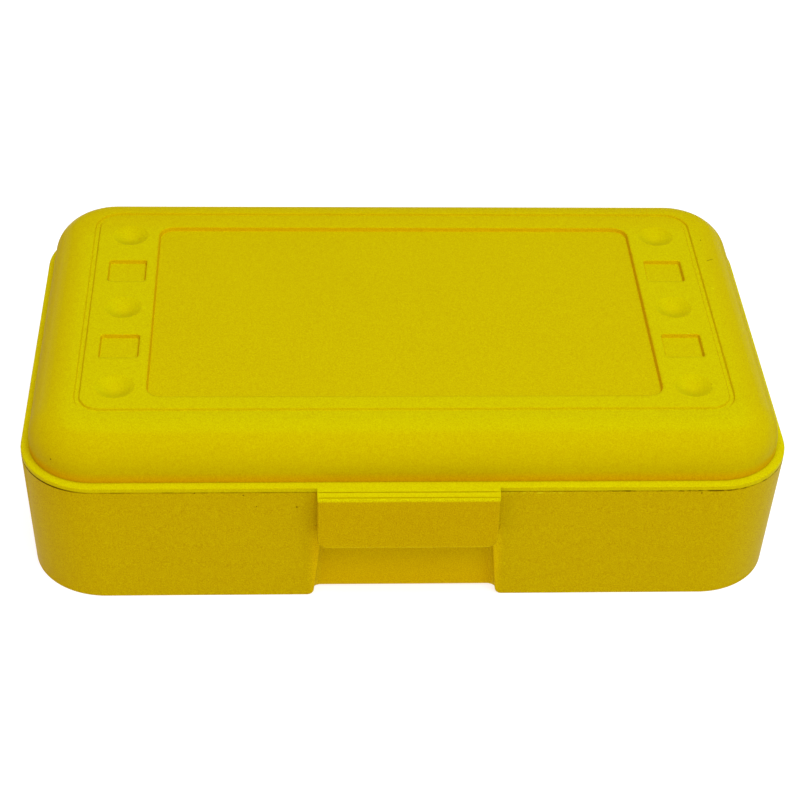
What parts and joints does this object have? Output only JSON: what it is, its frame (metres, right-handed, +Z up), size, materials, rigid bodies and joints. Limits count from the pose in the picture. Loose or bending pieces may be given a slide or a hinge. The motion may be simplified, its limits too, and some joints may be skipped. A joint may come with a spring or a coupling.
{
  "type": "pencil case",
  "caption": "Hinged plastic pencil case: tub tray, domed lid with a sunk panel, dimples and squares, snap hinges behind and a folding latch in front.",
  "frame": {"origin": "centre of the tray's underside", "axes": "+X along the long side to the case's right, -Y towards the latch at the front, +Z up through the lid"},
  "size_m": [0.216, 0.1425, 0.0547],
  "materials": {
    "tray_plastic": "fine spark-textured yellow polypropylene",
    "lid_plastic": "fine spark-textured yellow polypropylene"
  },
  "bodies": {
    "base": {"base_tray": "tray_plastic", "latch_catch": "tray_plastic", "hinge_lug_left_outer": "tray_plastic", "hinge_lug_left_inner": "tray_plastic", "hinge_lug_right_inner": "tray_plastic", "hinge_lug_right_outer": "tray_plastic", "hinge_rod_left": "tray_plastic", "hinge_rod_right": "tray_plastic"},
    "lid": {"lid_shell": "lid_plastic", "lid_locating_lip": "lid_plastic", "hinge_clip_left": "lid_plastic", "hinge_clip_right": "lid_plastic", "latch_web": "lid_plastic"},
    "latch": {"latch_flap": "lid_plastic", "latch_bead": "lid_plastic"}
  },
  "joints": [
    {"name": "lid_hinge", "type": "hinge", "parent": "base", "child": "lid", "pos_m": [0, 0.06965, 0.0383], "axis": [-1, 0, 0], "range_deg": [0, 180]},
    {"name": "latch_hinge", "type": "hinge", "parent": "lid", "child": "latch", "pos_m": [0, -0.06889, 0.03924], "axis": [-1, 0, 0], "range_deg": [0, 90], "deforming": ["latch_web"]}
  ]
}
